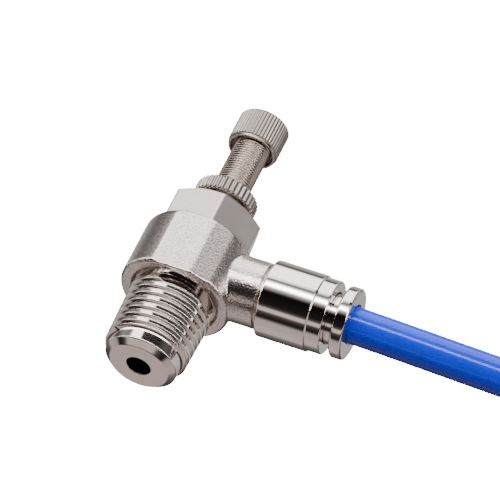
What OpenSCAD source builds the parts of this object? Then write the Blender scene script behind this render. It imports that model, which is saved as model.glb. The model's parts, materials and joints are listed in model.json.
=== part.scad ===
// Elbow flow control valve with a push-in tube port.
// +Z runs up the needle, +X runs out along the tube. The origin is on the axis
// of the taper pipe thread, at its hand-tight gauge plane.

/* [Threaded stud] */
// Outside diameter of the pipe thread at the gauge plane
thread_d = 13.6; // [9:0.1:22]
// Distance from one thread crest to the next
thread_pitch = 1.411; // [0.9:0.001:2.4]
// Height of the threaded stretch
thread_h = 10.2; // [6:0.1:16]
// Distance from the stud's end face up to the gauge plane
gauge_h = 8; // [5:0.1:14]
// Bore of the air passage up the stud
air_d = 4; // [2:0.1:6]
// Height of the plain neck between the thread and the elbow
neck_h = 0.6; // [0.4:0.1:4]

/* [Elbow] */
// Outside diameter of the round elbow body
body_d = 18.2; // [17:0.1:26]
// Height of the round elbow body
body_h = 11.1; // [10.5:0.1:18]
// Distance from the axis to each flat on the elbow's sides
flat_y = 8.44; // [8:0.01:13]
// Diameter of the neck that carries the sleeve
boss_d = 10.7; // [9.6:0.1:14]
// Distance from the axis to the shoulder of that neck
boss_x = 12.85; // [11:0.05:20]

/* [Tube port] */
// Outside diameter of the tube
tube_d = 6; // [4:0.1:8]
// Wall of the tube
tube_wall = 1; // [0.5:0.1:2]
// Outside diameter of the polished sleeve
sleeve_d = 12.4; // [11.8:0.1:16]
// Length of the polished sleeve
sleeve_len = 10.8; // [10:0.1:16]
// Length of the narrower end band of the sleeve
sleeve_band = 2.4; // [1:0.1:4]
// Diameter of the release ring's flange
ring_d = 11.6; // [9:0.1:15]
// Thickness of the release ring's flange
ring_t = 2.1; // [1:0.1:3]
// How far the release ring can be pressed in
press_travel = 1.3; // [0.8:0.1:2]

/* [Needle] */
// Hexagon of the bonnet, across its flats
hex_af = 14.29; // [12:0.01:20]
// Height of the hexagon
hex_h = 6.1; // [5:0.1:9]
// Outside diameter of the needle screw's fine thread
screw_d = 5.9; // [5:0.1:7]
// Pitch of the fine thread
screw_pitch = 0.5; // [0.35:0.05:1]
// Length of screw that shows between the hexagon and the knob
screw_show = 14.4; // [11:0.1:20]
// How far the needle can be screwed down from the open setting
needle_travel = 5; // [2:0.1:6]

/* [Knob and lock nut] */
// Outside diameter of the knob
knob_d = 8.5; // [7.6:0.1:14]
// Height of the knob
knob_h = 6.1; // [3:0.1:9]
// Number of fine ribs round the knob
knob_ribs = 48; // [24:1:60]
// Outside diameter of the lock nut
nut_d = 10.4; // [9:0.1:16]
// Height of the lock nut
nut_h = 2.7; // [1.5:0.1:5]
// Number of coarse ribs round the lock nut
nut_ribs = 36; // [18:1:48]
// Gap between the hexagon and the loosened lock nut
nut_gap = 2.3; // [1:0.1:5]

/* [Hidden] */
// radial gap of pieces that turn or slide in each other
run = 0.06;
// gap between faces of different pieces that don't touch
gap = 0.1;
// thickness of the metal wall round an O-ring's groove and between chambers
wall = 1.3;
eps = 0.02;
$fn = 96;

// heights up the axis
end_z = -gauge_h;
lead_h = 3;
thread_z0 = end_z + lead_h;
thread_z1 = thread_z0 + thread_h;
body_z0 = thread_z1 + neck_h;
body_z1 = body_z0 + body_h;
hex_z0 = body_z1 + run;
hex_z1 = hex_z0 + hex_h;
knob_z0 = hex_z1 + screw_show;
knob_z1 = knob_z0 + knob_h;
nut_z0 = hex_z1 + nut_gap;
// the port's axis lies a little above the middle of the elbow
port_rise = 0.27;
port_z = body_z0 + body_h / 2 + port_rise;

// stud: r is a radius, z a height
thread_r = thread_d / 2;
root_r = thread_r - 0.75 * thread_pitch;
crest_land = 0.2;
band_r = thread_r - 0.8;
// the end chamfer: how far it goes in, and how far up
end_in = 1.2;
end_up = 1;
stud_neck_r = root_r - 0.4;
air_r = air_d / 2;
chamber_r = 3.3;
shank_r = chamber_r + wall;
journal_r = 6;
// facets between each flat and the port
facet_turn = 27.5;
facet_d = flat_y + 0.4;
// recess in the elbow's lower face, and the stud's flange at the bottom of it
recess_r = 7.1;
recess_h = 1;
flange_r = recess_r - 0.6;
flange_h = 0.3;
check_r = journal_r + 0.6;
ring_c = 0.6;
groove_r = journal_r - run - 2 * ring_c;
groove_h = 1.36;
journal_z0 = body_z0 + recess_h;
journal_h = 1.7;
upper_z0 = body_z1 - 2.9;
seat_z = journal_z0 + journal_h + 1;
seat_h = 0.6;
seat_r = air_r + 0.6;
port_r = 0.8;
meter_z = seat_z + seat_h + 1;
bypass_r = 0.4;
bypass_z = seat_z - 0.55;
bush_z0 = meter_z + port_r + 0.2;
bush_h = 1.6;
spigot_r = 4.4;
spigot_h = 3.4;
spigot_c = 0.38;
spigot_ring_z = hex_z0 + spigot_h - 0.85;
hex_turn = -16;

// needle
screw_r = screw_d / 2;
screw_depth = 0.3;
stem_r = 1.9;
stem_cut = 0.4;
gland_c = 0.42;
orifice_r = 1.5;
stop_t = 0.5;
stop_gap = 0.55;
stop_z1 = hex_z0 + spigot_h + gap - stop_gap;
tip_z = seat_z + seat_h + needle_travel;
taper_h = 3.4;

// knob and lock nut
knob_r = knob_d / 2;
knob_hollow_r = knob_r - 0.65;
// thickness of the knob's closed top
knob_top = 1.2;
// height of the plain rim at the knob's foot
knob_rim = 0.5;
nut_r = nut_d / 2;
rib = 0.25;

// tube port: x is a distance from the needle's axis
tube_r = tube_d / 2;
groove_w = 0.6;
sleeve_x0 = boss_x + groove_w;
sleeve_x1 = sleeve_x0 + sleeve_len;
sleeve_r = sleeve_d / 2;
socket_r = tube_r + 1.9;
boss_r = boss_d / 2;
stop_x = sleeve_x0 + 1.6;
spigot_x = stop_x + 1.5;
seal_x0 = spigot_x + gap;
seal_len = 1.8;
backup_x0 = seal_x0 + seal_len + gap;
backup_len = 0.6;
grab_x0 = backup_x0 + backup_len;
grab_len = 0.9;
guide_x0 = grab_x0 + 0.4;
guide_x1 = sleeve_x1 - 0.5;
neck_r = tube_r + 1.05;
bore_r = tube_r + 0.15;
ring_x0 = sleeve_x1 + press_travel + gap;
ring_x1 = ring_x0 + ring_t;

// inner end of the release ring, which stands clear of the grab ring when pressed
collet_x0 = grab_x0 + grab_len + press_travel + gap;

// the tube's route: straight through the port, then a slight droop
TUBE_X = [0, 5, 9, 12.8, 14, 16, 18, 21, 24, 27, 30, 33, 37, 41, 45, 49];
TUBE_DROP = [0, 0, 0, 0, 0.03, 0.09, 0.16, 0.28, 0.39, 0.51, 0.63, 0.75, 0.9, 1.06, 1.21, 1.37];
TUBE_SIDES = 12;

// ---- shared shapes ----

// a shape turned about the needle's axis, from its [radius, height] outline
module turned(outline) rotate_extrude() polygon(outline);

// a ring about the needle's axis
module ring_z(r_out, r_in, z0, z1)
  turned([[r_in, z0], [r_out, z0], [r_out, z1], [r_in, z1]]);

// puts what is modelled along +Z onto the port's axis
module on_port() translate([0, 0, port_z]) rotate([0, 90, 0]) children();

// an O-ring about the needle's axis
module o_ring(r, c, z) rotate_extrude() translate([r, z]) circle(c, $fn = 24);

// outline of a cylinder with straight ribs
function ribbed(r, n, depth) = [for (i = [0 : n - 1], k = [0 : 3])
  let (a = 360 / n * (i + [0, 0.22, 0.5, 0.72][k]), q = k < 2 ? r : r - depth)
  [q * cos(a), q * sin(a)]];

// outline of ring-shaped threads: crests at r, roots at r - depth
function threads(r, z0, pitch, n, depth, land) = [for (i = [0 : n - 1], k = [0 : 3])
  [k == 1 || k == 2 ? r : r - depth,
   z0 + pitch * i + [0, 0.5 - land / 2, 0.5 + land / 2, 1][k] * pitch]];

// ---- stud and its seals ----

module stud_metal() {
  turns = floor(thread_h / thread_pitch);
  lead = (thread_h - turns * thread_pitch) / 2;
  turned(concat(
    [[0, end_z], [band_r - end_in, end_z], [band_r, end_z + end_up], [band_r, thread_z0],
     [root_r, thread_z0 + lead]],
    threads(thread_r, thread_z0 + lead, thread_pitch, turns, thread_r - root_r, crest_land),
    [[root_r, thread_z1], [stud_neck_r, thread_z1], [stud_neck_r, journal_z0 - run - flange_h],
     [flange_r, journal_z0 - run - flange_h], [flange_r, journal_z0 - run],
     [journal_r - run, journal_z0 - run], [journal_r - run, journal_z0 + journal_h],
     [shank_r, journal_z0 + journal_h], [shank_r, upper_z0],
     [journal_r - run, upper_z0], [journal_r - run, body_z1],
     [spigot_r, body_z1], [spigot_r, hex_z0 + spigot_h], [0, hex_z0 + spigot_h]]));
}

module stud() color("#c9c0bd") difference() {
  stud_metal();
  translate([0, 0, end_z - eps]) cylinder(r = air_r, h = seat_z - end_z + 1);
  ring_z(seat_r, 0, seat_z, seat_z + seat_h + eps);
  ring_z(chamber_r, 0, seat_z + seat_h, hex_z1);
  groove(journal_z0 + journal_h / 2);
  groove((upper_z0 + body_z1) / 2);
  ring_z(spigot_r + 1, spigot_r - 2 * spigot_c, spigot_ring_z - 0.45, spigot_ring_z + 0.45);
  for (a = [0 : 90 : 270]) rotate([0, 0, a + 45]) {
    translate([0, 0, meter_z]) rotate([0, 90, 0]) cylinder(r = port_r, h = shank_r + 1, $fn = 32);
    translate([0, 0, bypass_z]) rotate([0, 90, 0]) cylinder(r = bypass_r, h = shank_r + 1, $fn = 32);
  }
}

// groove that an O-ring sits in, cut into the stud's journals
module groove(z) ring_z(journal_r + 1, groove_r, z - groove_h / 2, z + groove_h / 2);

module seat_insert() color("#d9d4c8")
  ring_z(seat_r, orifice_r, seat_z, seat_z + seat_h);

module stem_o_ring_lower() color("#1c1c1e")
  o_ring(groove_r + ring_c + run / 2, ring_c, journal_z0 + journal_h / 2);

module stem_o_ring_upper() color("#1c1c1e")
  o_ring(groove_r + ring_c + run / 2, ring_c, (upper_z0 + body_z1) / 2);

// U-cup that lifts off the wall when air flows back
module check_lip_seal() color("#26262a") {
  z = seat_z;
  r = shank_r;
  turned([[r, z], [check_r - 0.5, z], [check_r - 0.12, z + 1.3], [check_r - 0.45, z + 1.3],
    [check_r - 0.8, z + 0.5], [r + 0.4, z + 0.5], [r + 0.3, z + 1.1], [r, z + 1.1]]);
}

module gland_bush() color("#c8a45c") difference() {
  ring_z(chamber_r, stem_r + run, bush_z0, bush_z0 + bush_h);
  ring_z(stem_r + 1, 0, bush_z0 - eps, bush_z0 + 1);
}

module gland_o_ring() color("#1c1c1e")
  o_ring(stem_r + run + gland_c, gland_c, bush_z0 + 0.5);

// ---- bonnet ----

module hex_bonnet() color("#d7cfcb") difference() {
  intersection() {
    translate([0, 0, hex_z0]) rotate([0, 0, hex_turn])
      cylinder(d = hex_af / cos(30), h = hex_h, $fn = 6);
    hex_chamfer();
  }
  ring_z(spigot_r, 0, hex_z0 - eps, hex_z0 + spigot_h + gap);
  ring_z(screw_r + run, 0, hex_z0, hex_z1 + 1);
}

// the cone that takes the hexagon's upper corners off
module hex_chamfer() {
  r = hex_af / cos(30) / 2;
  turned([[0, hex_z0 - 1], [r + 0.1, hex_z0 - 1], [r + 0.1, hex_z1 - 1],
    [hex_af / 2 - 0.25, hex_z1], [0, hex_z1]]);
}

module bonnet_o_ring() color("#1c1c1e")
  o_ring(spigot_r - spigot_c, spigot_c, spigot_ring_z);

// ---- elbow ----

// round body with a rounded top edge and a chamfered lower one
module elbow_round() {
  r = body_d / 2;
  top = 1;
  low = 0.4;
  turned(concat([[0, body_z0], [r - low, body_z0], [r, body_z0 + 1.25 * low]],
    [for (a = [0 : 10 : 90]) [r - top + top * cos(a), body_z1 - top + top * sin(a)]],
    [[0, body_z1]]));
}

// takes away what lies further than d from the axis, in the direction a degrees round from -Y
module side_cut(a, d) rotate([0, 0, a]) translate([-body_d, -d - body_d, body_z0 - 1])
  cube([2 * body_d, body_d, body_h + 2]);

module elbow_body() color("#cfc6c3") difference() {
  union() {
    difference() {
      elbow_round();
      side_cut(0, flat_y);
      side_cut(180, flat_y);
      side_cut(facet_turn, facet_d);
      side_cut(180 - facet_turn, facet_d);
    }
    on_port() turned([[0, 4], [boss_r, 4], [boss_r, boss_x], [socket_r, boss_x],
      [socket_r, spigot_x], [0, spigot_x]]);
  }
  ring_z(recess_r, 0, body_z0 - 1, journal_z0);
  ring_z(journal_r, 0, body_z0, body_z1 + 1);
  ring_z(check_r, 0, journal_z0 + journal_h, upper_z0);
  on_port() cylinder(r = air_r, h = spigot_x + 1);
  on_port() ring_z(tube_r + run, 0, stop_x, spigot_x + 1);
}

// ---- tube port ----

module port_sleeve() color("#e4dddb") on_port() {
  r = sleeve_r;
  step = sleeve_x1 - sleeve_band;
  step_in = 0.25;
  // roundings of the sleeve's two ends
  back = 0.4;
  front = 0.3;
  turned(concat(
    [[socket_r, sleeve_x0]],
    [for (a = [0 : 15 : 90]) [r - back + back * sin(a), sleeve_x0 + back - back * cos(a)]],
    [[r, step - 0.15], [r - step_in, step]],
    [for (a = [0 : 15 : 90])
      [r - step_in - front + front * cos(a), sleeve_x1 - front + front * sin(a)]],
    [[socket_r, sleeve_x1]]));
}

module tube_seal() color("#1c1c1e") on_port()
  turned([[tube_r + run, seal_x0 + 0.5], [tube_r + 0.5, seal_x0], [socket_r, seal_x0],
    [socket_r, seal_x0 + seal_len], [tube_r + 0.5, seal_x0 + seal_len],
    [tube_r + run, seal_x0 + seal_len - 0.5]]);

module backup_ring() color("#e9e6df") on_port()
  ring_z(socket_r, bore_r, backup_x0, backup_x0 + backup_len);

// sprung steel ring with slotted teeth that lean inwards and bite the tube
module grab_ring() color("#b9b9bb") on_port() difference() {
  turned([[socket_r, grab_x0], [socket_r, grab_x0 + 0.3], [socket_r - 0.8, grab_x0 + 0.3],
    [tube_r + run, grab_x0 + grab_len], [tube_r + run, grab_x0 + grab_len - 0.3],
    [socket_r - 0.8, grab_x0]]);
  for (a = [0 : 45 : 315]) rotate([0, 0, a])
    translate([tube_r - 0.5, -0.2, grab_x0 - 1]) cube([1.5, 0.4, 3]);
}

module collet_guide() color("#c8a45c") on_port()
  turned([[socket_r, guide_x0], [socket_r, guide_x1], [neck_r + run, guide_x1],
    [neck_r + run, guide_x0 + 1], [socket_r - 0.3, guide_x0]]);

module release_ring() color("#d9d2d0") on_port() {
  c = 0.45;
  turned(concat(
    [[bore_r, collet_x0], [neck_r - 0.2, collet_x0], [neck_r, collet_x0 + 0.3], [neck_r, ring_x0]],
    [for (a = [0 : 15 : 90]) [ring_d / 2 - c + c * sin(a), ring_x0 + c - c * cos(a)]],
    [for (a = [0 : 15 : 90]) [ring_d / 2 - c + c * cos(a), ring_x1 - c + c * sin(a)]],
    [[bore_r + 0.4, ring_x1], [bore_r, ring_x1 - 0.4]]));
}

// ---- needle ----

module needle_stop_ring() color("#b9b9bb") difference() {
  ring_z(chamber_r - 0.15, stem_r - stem_cut + run, stop_z1 - stop_t, stop_z1);
  translate([0, -0.6, stop_z1 - 1]) cube([6, 1.2, 2]);
}

module needle() color("#cbb98e") {
  turns = floor((knob_z0 - stop_z1 - 0.4) / screw_pitch);
  z0 = stop_z1 + 0.2;
  top = knob_z1 - knob_top;
  turned(concat(
    [[0, tip_z - taper_h], [0.45, tip_z - taper_h], [orifice_r - 0.12, tip_z],
     [stem_r, tip_z + 0.5], [stem_r, stop_z1 - stop_t - run],
     [stem_r - stem_cut, stop_z1 - stop_t - run], [stem_r - stem_cut, stop_z1 + run],
     [stem_r, stop_z1 + run], [stem_r, z0], [screw_r - screw_depth, z0]],
    threads(screw_r, z0, screw_pitch, turns, screw_depth, 0.25),
    [[screw_r - screw_depth, top], [0, top]]));
}

// ---- knob and lock nut ----

// cylinder with straight ribs and a chamfer at each end
module ribbed_disc(r, h, n, depth, low, top) intersection() {
  linear_extrude(h) polygon(ribbed(r, n, depth));
  turned([[0, 0], [r - low, 0], [r, low * 0.6], [r, h - top * 0.6], [r - top, h], [0, h]]);
}

module knob() color("#cfc7c4") difference() {
  union() {
    translate([0, 0, knob_z0 + knob_rim])
      ribbed_disc(knob_r, knob_h - knob_rim, knob_ribs, rib * 0.7, 0, 0.8);
    ring_z(knob_r - rib, 0, knob_z0, knob_z0 + knob_rim + 0.1);
  }
  ring_z(knob_hollow_r, 0, knob_z0 - 1, knob_z0 + 1.6);
  ring_z(screw_r, 0, knob_z0, knob_z1 - knob_top);
}

module lock_nut() color("#cdc5c2") difference() {
  translate([0, 0, nut_z0]) ribbed_disc(nut_r, nut_h, nut_ribs, rib, 0.4, 0.5);
  ring_z(screw_r + run, 0, nut_z0 - 1, nut_z0 + nut_h + 1);
}

// ---- tube ----

function tube_point(i) = [stop_x + gap + TUBE_X[i], 0, port_z - TUBE_DROP[i]];
function tube_ring(i, r) = [for (k = [0 : TUBE_SIDES - 1])
  let (a = 360 * k / TUBE_SIDES) tube_point(i) + [0, r * cos(a), r * sin(a)]];

module tube() color("#1467d2") {
  n = len(TUBE_X);
  s = TUBE_SIDES;
  outer = [for (i = [0 : n - 1]) each tube_ring(i, tube_r - 0.02)];
  inner = [for (i = [0 : n - 1]) each tube_ring(i, tube_r - tube_wall)];
  side = [for (i = [0 : n - 2], k = [0 : s - 1]) let (j = (k + 1) % s)
    [i * s + k, (i + 1) * s + k, (i + 1) * s + j, i * s + j]];
  bore = [for (q = side) [for (m = [3 : -1 : 0]) q[m] + n * s]];
  ends = [for (k = [0 : s - 1]) let (j = (k + 1) % s) each [
    [k, j, n * s + j, n * s + k],
    [(n - 1) * s + j, (n - 1) * s + k, (2 * n - 1) * s + k, (2 * n - 1) * s + j]]];
  polyhedron(concat(outer, inner), concat(side, bore, ends));
}

stud();
seat_insert();
stem_o_ring_lower();
stem_o_ring_upper();
check_lip_seal();
gland_bush();
gland_o_ring();
hex_bonnet();
bonnet_o_ring();
elbow_body();
port_sleeve();
tube_seal();
backup_ring();
grab_ring();
collet_guide();
release_ring();
needle_stop_ring();
needle();
knob();
lock_nut();
tube();
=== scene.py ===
import json
import math

import bmesh
import bpy
import numpy as np
from bpy.props import FloatProperty, IntProperty, PointerProperty, StringProperty
from mathutils import Matrix, Vector


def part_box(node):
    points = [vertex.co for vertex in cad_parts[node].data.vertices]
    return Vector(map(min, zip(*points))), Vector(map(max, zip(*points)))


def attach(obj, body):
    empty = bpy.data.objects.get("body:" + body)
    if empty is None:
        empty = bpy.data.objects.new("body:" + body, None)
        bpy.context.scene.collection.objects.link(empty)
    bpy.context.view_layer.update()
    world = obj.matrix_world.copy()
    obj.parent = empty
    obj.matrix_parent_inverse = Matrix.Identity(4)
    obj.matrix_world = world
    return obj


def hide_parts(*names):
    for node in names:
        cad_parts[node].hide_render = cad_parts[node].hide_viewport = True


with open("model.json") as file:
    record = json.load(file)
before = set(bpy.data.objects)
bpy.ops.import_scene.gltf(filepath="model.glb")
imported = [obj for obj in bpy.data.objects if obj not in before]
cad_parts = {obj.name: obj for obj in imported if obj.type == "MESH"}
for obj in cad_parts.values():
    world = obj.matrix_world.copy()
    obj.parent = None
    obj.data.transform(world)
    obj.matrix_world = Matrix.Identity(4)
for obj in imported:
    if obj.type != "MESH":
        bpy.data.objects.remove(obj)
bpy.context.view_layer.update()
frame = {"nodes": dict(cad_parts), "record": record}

bl_info = {
    "name": "Elbow Flow Control Valve",
    "version": (1, 0, 0),
    "blender": (4, 5, 0),
    "location": "View3D > Sidebar > Valve",
    "description": "Builds the finished pieces of an all-metal flow control valve on its CAD frame",
    "category": "Add Mesh",
}

MM = 0.001         # one millimetre in metres
WELD = 1e-6        # points nearer to each other than this, in metres, are merged
MATERIALS = {}     # finishes by short name, filled by the Finishes operator


def span(node, axis=2):
    """Lowest and highest place of a CAD node along an axis, in millimetres."""
    low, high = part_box(node)
    return low[axis] / MM, high[axis] / MM


def width(node, axis=1):
    """Size of a CAD node along an axis, in millimetres."""
    low, high = span(node, axis)
    return high - low


PORT_Z = sum(span("port_sleeve")) / 2


# ---- sizes and colours that a user would change ----

class StudSettings(bpy.types.PropertyGroup):
    """Taper-threaded stud."""
    crest: FloatProperty(name="Crest Diameter", default=13.6 * MM, unit="LENGTH",
                         description="Outside diameter of the thread at the gauge plane")
    pitch: FloatProperty(name="Pitch", default=1.411 * MM, unit="LENGTH",
                         description="Distance from one thread crest to the next")
    depth: FloatProperty(name="Thread Depth", default=0.46 * MM, unit="LENGTH",
                         description="Height of a thread from its root to its crest")
    length: FloatProperty(name="Thread Length", default=10.2 * MM, unit="LENGTH",
                          description="Length of the threaded stretch")


class NeedleSettings(bpy.types.PropertyGroup):
    """Needle screw."""
    pitch: FloatProperty(name="Pitch", default=0.5 * MM, unit="LENGTH",
                         description="Pitch of the fine thread")
    depth: FloatProperty(name="Thread Depth", default=0.26 * MM, unit="LENGTH",
                         description="Height of the fine thread")


class KnobSettings(bpy.types.PropertyGroup):
    """Knob and lock nut."""
    knob_ribs: IntProperty(name="Knob Ribs", default=48, min=12,
                           description="Number of fine ribs round the knob")
    nut_ribs: IntProperty(name="Lock Nut Ribs", default=36, min=12,
                          description="Number of coarse ribs round the lock nut")


class FinishSettings(bpy.types.PropertyGroup):
    """Colours as sRGB hex values."""
    nickel: StringProperty(name="Nickel", default="#dad1cd", description="Colour of the nickel plate")
    screw: StringProperty(name="Screw", default="#b3aaa0", description="Colour of the needle screw's plate")
    polished: StringProperty(name="Polished Nickel", default="#e6dfdc",
                             description="Colour of the polished nickel plate")
    knob: StringProperty(name="Knob", default="#a89e98", description="Colour of the ribbed pieces' plate")
    brass: StringProperty(name="Brass", default="#d2b06a", description="Colour of plain brass")
    tube: StringProperty(name="Tube", default="#0436dc", description="Colour of the blue tube")


# ---- colour and node helpers ----

def linear(hex_colour):
    """sRGB hex value as linear red, green, blue and alpha."""
    part = [int(hex_colour.lstrip("#")[i:i + 2], 16) / 255 for i in (0, 2, 4)]
    return [c / 12.92 if c <= 0.04045 else ((c + 0.055) / 1.055) ** 2.4 for c in part] + [1.0]


def add_node(tree, kind, links=(), **settings):
    """Adds a node. A setting named in_N or in_NAME goes to an input socket; links are
    (from socket, input) pairs."""
    node = tree.nodes.new(kind)
    for name, value in settings.items():
        if name.startswith("in_"):
            key = name[3:]
            key = int(key) if key.isdigit() else key.replace("_", " ")
            node.inputs[key].default_value = value
        else:
            setattr(node, name, value)
    for source, key in links:
        tree.links.new(source, node.inputs[key])
    return node


def new_material(name):
    """An empty node material with a Principled shader."""
    material = bpy.data.materials.new(name)
    material.use_nodes = True
    tree = material.node_tree
    shader = tree.nodes["Principled BSDF"]
    return material, tree, shader


# ---- surfaces ----

def grid_faces(rows, columns, close_rows, close_columns):
    """Quads of a grid, whose rows and columns wrap round where they are closed."""
    i = np.arange(rows if close_rows else rows - 1)[:, None]
    j = np.arange(columns if close_columns else columns - 1)[None, :]
    i2, j2 = (i + 1) % rows, (j + 1) % columns
    quad = [i * columns + j, i * columns + j2, i2 * columns + j2, i2 * columns + j]
    return np.stack(np.broadcast_arrays(*quad), -1).reshape(-1, 4)


def piece(name, points, body, material, close_rows=True, weld=False):
    """A mesh object from a grid of points (rows, columns, 3) in millimetres, whose columns go
    once round. Open rows are closed with a fan onto the middle of the first and last row. With
    weld the last column lies on the first and is merged with it. Faces are turned outwards."""
    rows, columns = points.shape[:2]
    vertices = points.reshape(-1, 3)
    faces = grid_faces(rows, columns, close_rows, not weld).tolist()
    if not close_rows:
        middle = [points[0].mean(0), points[-1].mean(0)]
        vertices = np.vstack([vertices, middle])
        j = np.arange(columns - 1 if weld else columns)
        k = (j + 1) % columns
        last_row = (rows - 1) * columns
        faces += np.stack([np.full(len(j), rows * columns), k, j], -1).tolist()
        faces += np.stack([np.full(len(j), rows * columns + 1), last_row + j, last_row + k], -1).tolist()
    mesh = bpy.data.meshes.new(name)
    mesh.from_pydata((vertices * MM).tolist(), [], faces)
    work = bmesh.new()
    work.from_mesh(mesh)
    bmesh.ops.remove_doubles(work, verts=work.verts, dist=WELD)
    bmesh.ops.recalc_face_normals(work, faces=work.faces)
    work.to_mesh(mesh)
    work.free()
    mesh.polygons.foreach_set("use_smooth", np.full(len(mesh.polygons), True))
    made = bpy.data.objects.new(name, mesh)
    bpy.context.scene.collection.objects.link(made)
    made.data.materials.append(material)
    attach(made, body)
    return made


def outline(corners, closed=True, step=15):
    """Points along a polygon whose corners are (radius, place, fillet). A fillet is an arc
    that touches both sides, and every straight side gets a point near each end, so that the
    shading of a long side stays flat."""
    corners = [np.array(c, float) for c in corners]
    count = len(corners)
    made = []
    for i, corner in enumerate(corners):
        here, fillet = corner[:2], corner[2]
        inner = closed or 0 < i < count - 1
        if not inner or fillet <= 0:
            made.append([here])
            continue
        a = corners[i - 1][:2] - here
        b = corners[(i + 1) % count][:2] - here
        la, lb = np.linalg.norm(a), np.linalg.norm(b)
        a, b = a / la, b / lb
        half = math.acos(np.clip(a @ b, -1, 1)) / 2
        if half > math.radians(89):
            made.append([here])
            continue
        reach = min(fillet / math.tan(half), 0.48 * la, 0.48 * lb)
        radius = reach * math.tan(half)
        bisector = (a + b) / np.linalg.norm(a + b)
        centre = here + bisector * radius / math.sin(half)
        start, end = here + a * reach, here + b * reach
        turns = max(2, int(math.degrees(math.pi - 2 * half) / step) + 1)
        t = np.linspace(0, 1, turns + 1)
        s, e = start - centre, end - centre
        angle = math.pi - 2 * half
        arc = [centre + (math.sin((1 - q) * angle) * s + math.sin(q * angle) * e) / math.sin(angle)
               for q in t]
        made.append(arc)
    points = []
    for i, stretch in enumerate(made):
        points += list(stretch)
        if i < count - 1 or closed:
            p, q = np.array(stretch[-1]), np.array(made[(i + 1) % count][0])
            size = np.linalg.norm(q - p)
            near = min(0.04, size / 4)
            if size > 0.02:
                points += [p + (q - p) * near / size, q - (q - p) * near / size]
    return np.array(points)


def turned(profile, columns=128, about="z", start=None):
    """A profile of (radius, place) points turned about the needle's or the port's axis. With a
    start angle the last column comes back to the first."""
    angle = (start or 0) + np.linspace(0, 2 * math.pi, columns, endpoint=start is not None)[None, :]
    r, h = profile[:, :1], profile[:, 1:2]
    c, s = r * np.cos(angle), r * np.sin(angle)
    h = np.broadcast_to(h, c.shape)
    if about == "z":
        return np.stack([c, s, h], -1)
    return np.stack([h, -s, c + PORT_Z], -1)


def turned_piece(name, corners, body, material, about="z", columns=128):
    """A closed ring: the outline of its section turned about an axis."""
    return piece(name, turned(outline(corners), columns, about), body, material)


def soft_min(edge, *values):
    """Smallest of the values, rounded where two of them cross: minus edge times the logarithm of
    the sum of e to the power of minus each value over edge."""
    values = np.broadcast_arrays(*values)
    least = np.minimum.reduce(values)
    return least - edge * np.log(sum(np.exp((least - value) / edge) for value in values))


def smooth_step(low, high, value):
    """0 below low, 1 above high, and a smooth S between them."""
    t = np.clip((value - low) / (high - low), 0, 1)
    return t * t * (3 - 2 * t)


# ---- materials ----

def metal(name, colour, roughness, grain_mm, grain_rise, mottle=0.03, spread=0.08, pit_shade=1.0):
    """Plated metal: a metallic shader whose roughness wanders a little, with a fine bump of
    grain_mm wide grains, grain_rise high in millimetres. Mottle darkens the colour in soft clouds,
    spread is how far the roughness wanders, and the colour in the hollows of the grain is
    multiplied by the last argument: painted shade that darkens those hollows."""
    material, tree, shader = new_material(name)
    base = linear(colour)
    shader.inputs["Metallic"].default_value = 1.0
    where = add_node(tree, "ShaderNodeTexCoord")
    cloud = add_node(tree, "ShaderNodeTexNoise", [(where.outputs["Object"], "Vector")],
                     in_Scale=1 / (2.5 * MM), in_Detail=3.0)
    tint = add_node(tree, "ShaderNodeMixRGB", [(cloud.outputs["Fac"], "Fac")], blend_type="MIX",
                    in_Color1=base, in_Color2=[c * (1 - mottle * 4) for c in base[:3]] + [1.0])
    rough = add_node(tree, "ShaderNodeMapRange", [(cloud.outputs["Fac"], "Value")],
                     in_To_Min=roughness - spread / 2, in_To_Max=roughness + spread / 2)
    grain = add_node(tree, "ShaderNodeTexNoise", [(where.outputs["Object"], "Vector")],
                     in_Scale=1 / (grain_mm * MM), in_Detail=2.0)
    bump = add_node(tree, "ShaderNodeBump", [(grain.outputs["Fac"], "Height")],
                    in_Strength=1.0, in_Distance=grain_rise * MM)
    # painted shade: the colour is darkened where the grain is low, standing in for shade in its hollows
    shade = add_node(tree, "ShaderNodeMapRange", [(grain.outputs["Fac"], "Value")],
                     in_From_Min=0.38, in_From_Max=0.55, in_To_Min=pit_shade, in_To_Max=1.0)
    tint = add_node(tree, "ShaderNodeMixRGB", [(tint.outputs["Color"], "Color1"),
                    (shade.outputs["Result"], "Color2")], blend_type="MULTIPLY", in_Fac=1.0)
    tree.links.new(tint.outputs["Color"], shader.inputs["Base Color"])
    tree.links.new(rough.outputs["Result"], shader.inputs["Roughness"])
    tree.links.new(bump.outputs["Normal"], shader.inputs["Normal"])
    return material


def rubber(name, colour, roughness):
    """Moulded rubber or plastic with a faint bloom."""
    material, tree, shader = new_material(name)
    where = add_node(tree, "ShaderNodeTexCoord")
    cloud = add_node(tree, "ShaderNodeTexNoise", [(where.outputs["Object"], "Vector")],
                     in_Scale=1 / (1.2 * MM), in_Detail=4.0)
    base = linear(colour)
    tint = add_node(tree, "ShaderNodeMixRGB", [(cloud.outputs["Fac"], "Fac")],
                    in_Color1=base, in_Color2=[min(1, c * 1.3 + 0.01) for c in base[:3]] + [1.0])
    shader.inputs["Roughness"].default_value = roughness
    tree.links.new(tint.outputs["Color"], shader.inputs["Base Color"])
    return material


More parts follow.
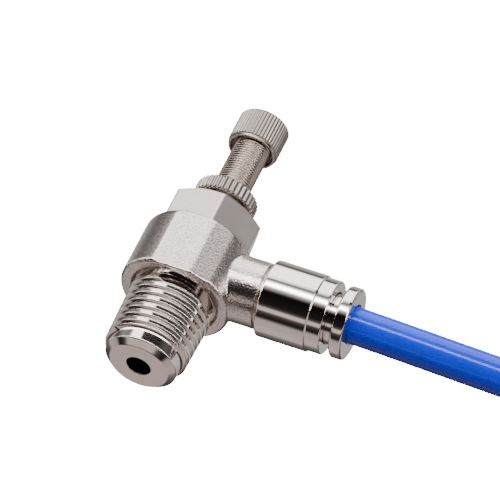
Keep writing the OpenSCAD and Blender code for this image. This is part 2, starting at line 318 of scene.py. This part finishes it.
def clear_blue_tube(name, colour):
    """Extruded polyurethane: clear, deep blue and glossy, with light passing in its wall."""
    material, tree, shader = new_material(name)
    where = add_node(tree, "ShaderNodeTexCoord")
    cloud = add_node(tree, "ShaderNodeTexNoise", [(where.outputs["Object"], "Vector")],
                     in_Scale=1 / (6 * MM), in_Detail=1.0)
    base = linear(colour)
    tint = add_node(tree, "ShaderNodeMixRGB", [(cloud.outputs["Fac"], "Fac")],
                    in_Color1=base, in_Color2=[c * 0.85 for c in base[:3]] + [1.0])
    shader.inputs["IOR"].default_value = 1.5
    shader.inputs["Specular IOR Level"].default_value = 0.3
    shader.inputs["Roughness"].default_value = 0.08
    shader.inputs["Subsurface Weight"].default_value = 0.8
    shader.inputs["Subsurface Scale"].default_value = 2.5 * MM
    shader.inputs["Subsurface Radius"].default_value = (0.3, 0.6, 1.0)
    tree.links.new(tint.outputs["Color"], shader.inputs["Base Color"])
    return material


# ---- stage ----

# the camera looks along VIEW_FORWARD at AIM, and its long lens keeps parallel edges nearly so
VIEW_FORWARD = Vector((-0.245, 0.790, 0.561)).normalized()
VIEW_UP = Vector((-0.293, -0.612, 0.734)).normalized()
AIM = Vector((10.63, -10.69, 11.66)) * MM
VIEW_WIDTH = 76.8 * MM
LENS = 400.0
SENSOR = 36.0


class VALVE_OT_camera(bpy.types.Operator):
    """Places the camera below and in front of the valve, with a long lens"""
    bl_idname = "valve.camera"
    bl_label = "Camera"

    def execute(self, context):
        data = bpy.data.cameras.new("camera")
        data.lens = LENS
        data.sensor_width = SENSOR
        data.clip_start = 0.01
        data.clip_end = 20
        camera = bpy.data.objects.new("camera", data)
        context.scene.collection.objects.link(camera)
        side = VIEW_FORWARD.cross(VIEW_UP).normalized()
        up = side.cross(VIEW_FORWARD)
        turn = Matrix((side, up, -VIEW_FORWARD)).transposed().to_4x4()
        place = AIM - VIEW_FORWARD * VIEW_WIDTH * LENS / SENSOR
        camera.matrix_world = Matrix.Translation(place) @ turn
        context.scene.camera = camera
        return {"FINISHED"}


class VALVE_OT_stage(bpy.types.Operator):
    """Makes the pale floor and the studio's light"""
    bl_idname = "valve.stage"
    bl_label = "Floor and Lights"

    def execute(self, context):
        material, tree, shader = new_material("pale_matt_floor")
        shader.inputs["Base Color"].default_value = linear("#f2f0ee")
        shader.inputs["Roughness"].default_value = 0.9
        mesh = bpy.data.meshes.new("floor")
        far, low = 6.0, -0.9      # metres
        corners = [(-far, -far, low), (far, -far, low), (far, far, low), (-far, far, low)]
        mesh.from_pydata(corners, [], [(0, 1, 2, 3)])
        floor = bpy.data.objects.new("floor", mesh)
        floor.data.materials.append(material)
        context.scene.collection.objects.link(floor)
        # the strip lights and dark cards below the valve stand between it and the floor
        floor.visible_glossy = False
        floor.visible_diffuse = False
        make_room(context.scene)
        return {"FINISHED"}


def bearing(tree, where, ahead, aside):
    """Angle of a direction from ahead towards aside, as a share of a full turn from 0 to 1."""
    part = [add_node(tree, "ShaderNodeVectorMath", [(where, 0)], operation="DOT_PRODUCT",
                     in_1=Vector(axis).normalized()) for axis in (aside, ahead)]
    angle = add_node(tree, "ShaderNodeMath", [(part[0].outputs["Value"], 0), (part[1].outputs["Value"], 1)],
                     operation="ARCTAN2")
    return add_node(tree, "ShaderNodeMapRange", [(angle.outputs[0], "Value")],
                    in_From_Min=-math.pi, in_From_Max=math.pi).outputs["Result"]


def light_ring(tree, share, strips):
    """Brightness round a ring of strip lights and dark cards. Each strip is (degrees, brightness);
    between strips it runs evenly in stops, from 2^-8 to 2^4."""
    ramp = add_node(tree, "ShaderNodeValToRGB", [(share, "Fac")])
    marks = ramp.color_ramp.elements
    while len(marks) < len(strips):
        marks.new(0.5)
    for mark, (degrees, bright) in zip(marks, strips):
        stop = (math.log2(bright) + 8) / 12
        mark.position = degrees / 360 + 0.5
        mark.color = (stop, stop, stop, 1)
    stops = add_node(tree, "ShaderNodeMath", [(ramp.outputs["Color"], 0)],
                     operation="MULTIPLY_ADD", in_1=12.0, in_2=-8.0)
    return add_node(tree, "ShaderNodeMath", [(stops.outputs[0], 1)], operation="POWER", in_0=2.0).outputs[0]


# strips seen by what is turned about the port's axis, by angle up from the camera's direction
LOW_RING = [(-180, 0.12), (-150, 0.08), (-124, 0.30), (-116, 0.70), (-100, 0.72), (-84, 0.62),
            (-70, 0.60), (-64, 0.22), (-58, 0.02), (-52, 0.035), (-44, 0.10), (-38, 0.9), (-30, 0.9),
            (-25, 0.12), (-17, 0.02), (15, 0.007), (22, 0.2), (31, 1.2), (36, 14.0), (44, 14.0),
            (49, 2.5), (55, 0.30), (59, 0.35), (64, 2.0), (72, 5.0), (84, 2.0), (104, 0.65),
            (114, 0.65), (130, 1.2), (160, 2.0), (180, 3.0)]
# strips seen by what is turned about the needle's axis, by azimuth: a tapered surface sees the
# middle ring, an upright one the high ring
MIDDLE_RING = [(-180, 0.24), (-165, 0.42), (-146, 0.30), (-140, 0.6), (-134, 5.0), (-106, 5.0), (-102, 0.04),
               (-95, 0.012), (-50, 0.012), (-40, 0.08), (-25, 0.14), (-10, 0.10), (2, 0.3), (14, 0.9),
               (40, 0.9), (60, 0.65), (85, 0.4), (110, 0.6), (145, 0.75), (158, 0.4), (170, 0.07),
               (180, 0.24)]
HIGH_RING = [(-180, 0.16), (-165, 0.22), (-155, 0.7), (-146, 3.0), (-125, 4.0), (-80, 4.0), (-70, 2.2),
             (-50, 2.0), (-38, 0.8), (-24, 0.2), (-4, 0.14), (8, 0.35), (16, 1.0), (28, 0.6),
             (50, 0.35), (66, 0.3), (78, 0.8), (100, 1.3), (125, 0.6), (145, 0.4), (165, 0.2), (180, 0.16)]


def make_room(scene):
    """A studio of long strip lights and dark cards, as a function of direction: one ring of them
    about the port's axis, another about the needle's axis for what lies higher."""
    world = bpy.data.worlds.new("studio")
    world.use_nodes = True
    scene.world = world
    tree = world.node_tree
    tree.nodes.clear()
    where = add_node(tree, "ShaderNodeTexCoord").outputs["Generated"]
    out = add_node(tree, "ShaderNodeOutputWorld")
    low = light_ring(tree, bearing(tree, where, (0, -0.815, -0.579), (0, -0.579, 0.815)), LOW_RING)
    azimuth = bearing(tree, where, (1, 0, 0), (0, 1, 0))
    height = add_node(tree, "ShaderNodeSeparateXYZ", [(where, 0)]).outputs["Z"]
    level = low
    # each ring takes over between two heights of the direction, from 0 level to 1 straight up
    for ring, bottom, top in ((MIDDLE_RING, 0.36, 0.42), (HIGH_RING, 0.525, 0.55)):
        upper = light_ring(tree, azimuth, ring)
        rise = add_node(tree, "ShaderNodeMapRange", [(height, "Value")], interpolation_type="SMOOTHSTEP",
                        in_From_Min=bottom, in_From_Max=top)
        level = add_node(tree, "ShaderNodeMix", [(rise.outputs["Result"], 0), (level, 2), (upper, 3)],
                         data_type="FLOAT").outputs[0]
    # light from below is a little warmer
    warm = add_node(tree, "ShaderNodeMapRange", [(height, "Value")], in_From_Min=-0.3, in_From_Max=0.1)
    tint = add_node(tree, "ShaderNodeMix", [(warm.outputs["Result"], 0)], data_type="RGBA",
                    in_6=(1.0, 0.86, 0.83, 1.0), in_7=(1.0, 0.98, 0.965, 1.0)).outputs[2]
    lit = add_node(tree, "ShaderNodeBackground", [(level, "Strength"), (tint, "Color")])
    # what the camera itself sees behind the valve is plain white
    shown = add_node(tree, "ShaderNodeBackground", in_Color=(1, 1, 1, 1), in_Strength=18.0)
    path = add_node(tree, "ShaderNodeLightPath")
    both = add_node(tree, "ShaderNodeMixShader", [(path.outputs["Is Camera Ray"], 0),
                    (lit.outputs[0], 1), (shown.outputs[0], 2)])
    tree.links.new(both.outputs[0], out.inputs["Surface"])


# ---- tube ----

# the tube's route in millimetres: how far from its inner end, and how far it has drooped there
TUBE_X = [0, 5, 9, 12.8, 14, 16, 18, 21, 24, 27, 30, 33, 37, 41, 45, 49]
TUBE_DROP = [0, 0, 0, 0, 0.03, 0.09, 0.16, 0.28, 0.39, 0.51, 0.63, 0.75, 0.9, 1.06, 1.21, 1.37]


TUBE_BORE_R = 2.0
TUBE_EDGE = 0.08
TUBE_ROWS = 120
TUBE_COLUMNS = 96
EVENING_PASSES = 60


class VALVE_OT_tube(bpy.types.Operator):
    """Makes the blue tube that is pushed into the port: a circle swept along its drooping line,
    outwards at the outer radius and back at the bore's"""
    bl_idname = "valve.tube"
    bl_label = "Tube"

    def execute(self, context):
        along = np.linspace(0, TUBE_X[-1], TUBE_ROWS)
        drop = np.interp(along, TUBE_X, TUBE_DROP)
        # each pass evens out the bends at the route's points
        for _ in range(EVENING_PASSES):
            drop[1:-1] = (drop[:-2] + 2 * drop[1:-1] + drop[2:]) / 4
        line = np.stack([span("tube", 0)[0] + along, np.zeros(len(along)), PORT_Z - drop], -1)
        # outside with its two edges eased, then back along the bore
        path = np.vstack([line[:1], line, line[-1:], line[::-1]])
        radius = np.full(len(path), width("tube", 1) / 2)
        radius[[0, len(line) + 1]] -= TUBE_EDGE
        radius[len(line) + 2:] = TUBE_BORE_R
        path[1, 0] += TUBE_EDGE
        path[len(line), 0] -= TUBE_EDGE
        angle = np.linspace(0, 2 * math.pi, TUBE_COLUMNS, endpoint=False)
        ring = np.stack([np.zeros(len(angle)), -np.sin(angle), np.cos(angle)], -1)
        points = path[:, None, :] + radius[:, None, None] * ring[None]
        made = piece("blue_tube", points, "tube", MATERIALS["tube"])
        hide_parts("tube")
        return {"FINISHED"}


# ---- stud and bonnet ----

THREAD_START = math.radians(-138)
THREAD_TURNS = 8.4
ROWS_PER_PITCH = 24

HEX_FLATS = 14.29                  # millimetres over two flats, a 9/16 in spanner
HEX_TURN = math.radians(-16)       # from the port's axis to a corner


class VALVE_OT_stud(bpy.types.Operator):
    """Makes the stud. The thread's radius is the tapering root plus the thread's height times a
    clipped triangle wave, taken along the helix. A plain band and its chamfer lead up to the
    thread, and it runs out into a plain neck"""
    bl_idname = "valve.stud"
    bl_label = "Stud"

    def execute(self, context):
        size = context.scene.valve_stud
        end, top = span("stud")
        crest, pitch = size.crest / MM / 2, size.pitch / MM
        depth, length = size.depth / MM, size.length / MM
        band, neck, flange_r, shank, spigot = crest - 0.8, crest - 1.4, 6.5, 5.94, 4.4
        bore, chamber = 2.0, 3.3
        end_in, end_up, lead = 1.2, 1.0, 3.0
        face = band - end_in
        z0, z1 = end + lead, end + lead + length
        flange = span("elbow_body")[0] + 0.64
        chamber_end = end + 17.1
        below = outline([(chamber, chamber_end, 0), (bore, end + 17.0, 0), (bore, end, 0.15),
                         (face, end, 0.1), (face + 0.08, end + 0.03, 0)], closed=False)
        above = outline([(neck, z1 + 0.1, 0.05), (neck, flange, 0.05), (flange_r, flange, 0.1),
                         (flange_r, flange + 0.3, 0), (shank, flange + 0.34, 0), (shank, top - 6, 0),
                         (spigot, top - 3.4, 0), (spigot, top, 0), (chamber, top, 0),
                         (chamber, chamber_end, 0)], closed=False)
        columns = 241
        past = np.linspace(0, 1, columns)[None, :]
        angle = THREAD_START + past * 2 * math.pi
        # rows of the grid follow the helix, and stop at the ends of the threaded stretch
        rows = math.ceil((z1 - end) / pitch + 1) * ROWS_PER_PITCH
        along = (np.arange(rows + 1) / ROWS_PER_PITCH - 1)[:, None]
        z = np.clip(end + 0.1 + (along + past) * pitch, end + 0.1, z1)
        # a triangle wave cut off below and above, which leaves a narrow root and a broad crest
        wave = np.abs(((along + 0.25) % 1) - 0.5) * 2
        form = np.clip((wave - 0.02) / (0.52 - 0.02), 0, 1)
        taper = crest + z / 32     # 1 in 16 on the diameter
        root = taper - depth
        # below the first turn a plain band; its last quarter runs into the thread's first crest
        started = smooth_step(-0.02, 0.02, (z - z0 + 0.3) / pitch - past + 1.1 * (past > 0.8))
        # the thread runs out a little past its start, and a plain neck follows
        runout = THREAD_TURNS + 1 - smooth_step(0.06, 0.12, past)
        ended = np.maximum(smooth_step(-0.08, 0.08, along - runout), smooth_step(-0.06, 0, z - z1))
        r = (root + depth * form) * (1 - ended) + neck * ended
        r = (band + (z - z0) / 32) * (1 - started) + r * started
        chamfer = face + 0.08 + (z - end - 0.03) * end_in / end_up
        r = soft_min(0.03, r, chamfer)
        thread = np.stack([r * np.cos(angle), r * np.sin(angle), z], -1)
        points = np.concatenate([turned(below, columns, start=THREAD_START), thread,
                                 turned(above, columns, start=THREAD_START)])
        made = piece("threaded_stud", points, "stem", MATERIALS["bright"], weld=True)
        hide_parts("stud")
        return {"FINISHED"}


class VALVE_OT_bonnet(bpy.types.Operator):
    """Makes the hexagon bonnet. Its radius is the least of three: the hexagon's, half its width
    over the flats divided by the cosine of the angle from a flat's middle, with the corners cut
    a little, and two cones that chamfer the corners above and below"""
    bl_idname = "valve.bonnet"
    bl_label = "Hexagon Bonnet"

    def execute(self, context):
        z0, z1 = span("hex_bonnet")
        # clear of the elbow, whose remeshed top face comes a hundredth of a millimetre too high
        z0 += 0.02
        flat = HEX_FLATS / 2
        corner = flat / math.cos(math.pi / 6)
        screw_bore, spigot_bore, rim = 3.01, 4.45, 6.0
        columns = 360
        angle = np.linspace(0, 2 * math.pi, columns, endpoint=False)[None, :]
        off = (angle - HEX_TURN) % (math.pi / 3) - math.pi / 6
        hexagon = np.minimum(flat / np.cos(off), corner - 0.06)
        z = np.concatenate([z0 + np.array([0, 0.03, 0.1, 0.2]), np.linspace(z0 + 0.3, z1 - 1.2, 6),
                            np.linspace(z1 - 1.1, z1, 30)])[:, None]
        cone = flat - 0.25 + (z1 - z) * 1.73
        low = corner - 0.15 + (z - z0) * 2
        r = soft_min(0.06, hexagon, cone, low)
        side = np.stack([r * np.cos(angle), r * np.sin(angle), np.broadcast_to(z, r.shape)], -1)
        top = turned(np.array([[6.5, z1], [4.0, z1], [screw_bore + 0.11, z1], [screw_bore, z1 - 0.12],
                               [screw_bore, z1 - 2.0]]), columns)
        bottom = turned(np.array([[screw_bore, z1 - 2.6], [spigot_bore, z1 - 2.6], [spigot_bore, z0],
                                  [rim, z0]]), columns)
        points = np.concatenate([side, top, bottom])
        made = piece("hexagon_bonnet", points, "stem", MATERIALS["satin_flat"])
        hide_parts("hex_bonnet")
        return {"FINISHED"}


# ---- elbow ----

REMESH_SIZE = 0.16
WORN_PASSES = 6


class VALVE_OT_elbow(bpy.types.Operator):
    """Makes the forged elbow: the CAD solid remeshed evenly and its edges worn soft"""
    bl_idname = "valve.elbow"
    bl_label = "Elbow"

    def execute(self, context):
        source = frame["nodes"]["elbow_body"]
        mesh = source.data.copy()
        made = bpy.data.objects.new("forged_elbow", mesh)
        context.scene.collection.objects.link(made)
        mesh.materials.clear()
        work = bmesh.new()
        work.from_mesh(mesh)
        bmesh.ops.remove_doubles(work, verts=work.verts, dist=1e-7)
        work.to_mesh(mesh)
        work.free()
        remesh = made.modifiers.new("even", "REMESH")
        remesh.mode = "VOXEL"
        remesh.voxel_size = REMESH_SIZE * MM
        soft = made.modifiers.new("worn", "SMOOTH")
        soft.factor = 0.5
        soft.iterations = WORN_PASSES
        graph = context.evaluated_depsgraph_get()
        done = bpy.data.meshes.new_from_object(made.evaluated_get(graph))
        made.modifiers.clear()
        made.data = done
        done.name = "forged_elbow"
        done.polygons.foreach_set("use_smooth", np.full(len(done.polygons), True))
        done.materials.append(MATERIALS["blasted"])
        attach(made, "elbow")
        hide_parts("elbow_body")
        return {"FINISHED"}


# ---- port ----

class VALVE_OT_sleeve(bpy.types.Operator):
    """Makes the polished sleeve and the release ring, each an outline turned about the port's
    axis"""
    bl_idname = "valve.sleeve"
    bl_label = "Sleeve and Release Ring"

    def execute(self, context):
        x0, x1 = span("port_sleeve", 0)
        r = width("port_sleeve") / 2
        inner, mouth = 4.9, 4.25
        step, lip = x1 - 2.4, x1 - 0.42
        front_r = r - 0.25
        # the mouth is rolled in to hide the guide behind it
        made = turned_piece("polished_sleeve", [
            (inner, x0, 0.1), (r, x0, 0.4), (r, step - 0.1, 0.12), (front_r, step + 0.1, 0.12),
            (front_r, x1, 0.3), (mouth, x1, 0.1), (mouth, lip, 0.05), (inner, lip, 0)],
            "elbow", MATERIALS["polished"], "x", 160)
        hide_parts("port_sleeve")
        a, b = span("release_ring", 0)
        flange = width("release_ring") / 2
        bore, barrel, shoulder = 3.15, 4.05, b - 2.1
        made = turned_piece("release_ring_finished", [
            (bore, a, 0.1), (barrel, a, 0.2), (barrel, shoulder, 0.1), (flange, shoulder, 0.5),
            (flange, b, 0.45), (bore, b, 0.35)], "release_ring", MATERIALS["polished"], "x", 160)
        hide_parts("release_ring")
        return {"FINISHED"}


# ---- needle, knob and lock nut ----

class VALVE_OT_needle(bpy.types.Operator):
    """Makes the needle. The screw's radius is the full radius less the thread's height times a
    raised cosine of the place along the helix, faded out at both ends"""
    bl_idname = "valve.needle"
    bl_label = "Needle"

    def execute(self, context):
        size = context.scene.valve_needle
        pitch, depth = size.pitch / MM, size.depth / MM
        tip, top = span("needle")
        r = width("needle") / 2
        z0 = span("needle_stop_ring")[1] + 0.2
        stem, groove, axis = 1.9, 1.5, 0.02
        columns, rows_per_pitch = 72, 9
        angle = np.linspace(0, 2 * math.pi, columns, endpoint=False)[None, :]
        below = outline([(axis, tip, 0), (0.45, tip, 0.05), (1.38, tip + 3.4, 0.05), (stem, tip + 3.9, 0.1),
                         (stem, z0 - 0.8, 0), (groove, z0 - 0.8, 0), (groove, z0 - 0.2, 0),
                         (stem, z0 - 0.15, 0), (stem, z0 - 0.02, 0)], closed=False)
        z = np.arange(z0, top - 0.3, pitch / rows_per_pitch)[:, None]
        turn = z / pitch - angle / (2 * math.pi)
        wave = 0.5 + 0.5 * np.cos(2 * math.pi * turn)
        rr = r - depth * wave ** 1.3
        ends = smooth_step(0, 0.6, z - z0) * smooth_step(0, 0.3, top - 0.3 - z)
        rr = (r - depth) * (1 - ends) + rr * ends
        thread = np.stack([rr * np.cos(angle), rr * np.sin(angle), np.broadcast_to(z, rr.shape)], -1)
        above = turned(np.array([[r - depth - 0.3, top], [axis, top]]), columns)
        points = np.concatenate([turned(below, columns), thread, above])
        made = piece("needle_screw", points, "needle_and_knob", MATERIALS["screw"], close_rows=False)
        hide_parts("needle")
        return {"FINISHED"}


def ribbed_piece(name, corners, ribs, depth, reach, body, material, per_rib=8):
    """A turned ring whose outside is ribbed along its length: a point's radius is drawn in by
    depth between the ribs, by a flattened cosine of the angle, in full where it lies within reach
    of the widest radius and less where a chamfer takes it further in."""
    profile = outline(corners)
    columns = ribs * per_rib
    points = turned(profile, columns)
    angle = np.linspace(0, 2 * math.pi, columns, endpoint=False)[None, :]
    rib = 0.5 - 0.5 * np.tanh(2.2 * np.cos(ribs * angle)) / math.tanh(2.2)
    widest = profile[:, 0].max()
    full = smooth_step(widest - reach - depth, widest - depth * 0.5, profile[:, :1])
    r = np.hypot(points[..., 0], points[..., 1])
    scale = (r - depth * rib * full) / r
    points[..., 0] *= scale
    points[..., 1] *= scale
    return piece(name, points, body, material)


class VALVE_OT_knob(bpy.types.Operator):
    """Makes the hollow ribbed knob and the ribbed lock nut, each a turned outline drawn in
    between its ribs"""
    bl_idname = "valve.knob"
    bl_label = "Knob and Lock Nut"

    def execute(self, context):
        size = context.scene.valve_knob
        z0, z1 = span("knob")
        r = width("knob") / 2
        axis, bore, hollow, plain = 0.02, 3.0, 3.6, r - 0.28
        made = ribbed_piece("ribbed_knob", [
            (axis, z1 - 1.2, 0), (bore, z1 - 1.2, 0), (bore, z0 + 1.6, 0), (hollow, z0 + 1.6, 0.1),
            (hollow, z0, 0.08), (plain, z0, 0.08), (plain, z0 + 0.5, 0.03), (r, z0 + 0.62, 0.08),
            (r, z1 - 0.55, 0.2), (r - 0.75, z1, 0.2), (axis, z1, 0)], size.knob_ribs, 0.16, 0.1,
            "needle_and_knob", MATERIALS["satin"])
        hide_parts("knob")
        z0, z1 = span("lock_nut")
        r = width("lock_nut") / 2
        recess, roof = 4.4, z0 + 0.9
        made = ribbed_piece("ribbed_lock_nut", [
            (bore, roof, 0.1), (recess, roof, 0.1), (recess, z0, 0.05), (r - 0.45, z0, 0.1),
            (r, z0 + 0.3, 0.1), (r, z1 - 0.35, 0.12), (r - 0.55, z1, 0.12), (bore, z1, 0.15)],
            size.nut_ribs, 0.28, 0.3, "lock_nut", MATERIALS["satin"])
        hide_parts("lock_nut")
        return {"FINISHED"}


class VALVE_OT_materials(bpy.types.Operator):
    """Makes the finishes and puts them on the carried-over pieces"""
    bl_idname = "valve.materials"
    bl_label = "Finishes"

    def execute(self, context):
        colour = context.scene.valve_finish
        # crisp streaks of light and dark on the thread's flanks and the end face
        MATERIALS["bright"] = metal("bright_turned_nickel_plate", colour.nickel, 0.09, 0.2, 0.001,
                                    spread=0.04)
        # a darker, softer shine with a broad highlight on every rib
        MATERIALS["satin"] = metal("turned_nickel_plate", colour.knob, 0.2, 0.12, 0.003)
        # even, pale flats that show which way each one faces and no clear reflection
        MATERIALS["satin_flat"] = metal("milled_nickel_plate", colour.nickel, 0.3, 0.1, 0.003)
        # a slightly yellow grey that glints along the fine thread
        MATERIALS["screw"] = metal("rolled_thread_nickel_plate", colour.screw, 0.12, 0.12, 0.002)
        # a sparkling, grainy skin, with painted shade darkening the hollows of its grain
        MATERIALS["blasted"] = metal("blasted_nickel_plate", colour.nickel, 0.2, 0.3, 0.05,
                                     pit_shade=0.72)
        # a mirror with sharp black and white bands
        MATERIALS["polished"] = metal("polished_nickel_plate", colour.polished, 0.05, 0.5, 0.0004,
                                      spread=0.02)
        # a warm yellow, seen when the valve is taken apart
        MATERIALS["brass"] = metal("turned_brass", colour.brass, 0.25, 0.12, 0.004)
        # a cold grey glint on the thin inner rings
        MATERIALS["spring"] = metal("bright_spring_steel", "#c9cacc", 0.2, 0.1, 0.003)
        # inner seals: black with a dusty bloom and hardly a highlight
        MATERIALS["rubber"] = rubber("moulded_nitrile_rubber", "#171719", 0.55)
        # inner rings: milky white with a soft shine
        MATERIALS["white"] = rubber("moulded_white_plastic", "#e4e1d9", 0.45)
        # deep, glowing blue with a thin hard highlight along its length
        MATERIALS["tube"] = clear_blue_tube("clear_blue_polyurethane", colour.tube)
        finish = {"nickel_satin": "satin", "nickel_blasted": "blasted", "nickel_polished": "polished",
                  "brass_plain": "brass", "spring_steel": "spring", "nitrile_black": "rubber",
                  "seal_white": "white", "tube_blue": "tube"}
        for part in frame["record"]["subparts"]:
            node = frame["nodes"][part["node"]]
            node.data.materials.clear()
            node.data.materials.append(MATERIALS[finish[part["material_slot"]]])
        return {"FINISHED"}


class VALVE_PT_panel(bpy.types.Panel):
    """Lists the valve's operators"""
    bl_label = "Flow Control Valve"
    bl_idname = "VALVE_PT_panel"
    bl_space_type = "VIEW_3D"
    bl_region_type = "UI"
    bl_category = "Valve"

    def draw(self, context):
        for operator in OPERATORS:
            self.layout.operator(operator.bl_idname)
        for group in (context.scene.valve_stud, context.scene.valve_needle,
                      context.scene.valve_knob, context.scene.valve_finish):
            for name in group.__annotations__:
                self.layout.prop(group, name)


OPERATORS = (VALVE_OT_camera, VALVE_OT_materials, VALVE_OT_tube, VALVE_OT_stage, VALVE_OT_stud,
             VALVE_OT_bonnet, VALVE_OT_elbow, VALVE_OT_sleeve, VALVE_OT_needle, VALVE_OT_knob)
GROUPS = {"valve_stud": StudSettings, "valve_needle": NeedleSettings,
          "valve_knob": KnobSettings, "valve_finish": FinishSettings}


def register():
    for name, group in GROUPS.items():
        bpy.utils.register_class(group)
        setattr(bpy.types.Scene, name, PointerProperty(type=group))
    for operator in OPERATORS:
        bpy.utils.register_class(operator)
    bpy.utils.register_class(VALVE_PT_panel)


def unregister():
    bpy.utils.unregister_class(VALVE_PT_panel)
    for operator in reversed(OPERATORS):
        bpy.utils.unregister_class(operator)
    for name, group in GROUPS.items():
        delattr(bpy.types.Scene, name)
        bpy.utils.unregister_class(group)


def main():
    register()
    for operator in OPERATORS:
        family, name = operator.bl_idname.split(".")
        getattr(getattr(bpy.ops, family), name)()


if __name__ == "__main__":
    main()
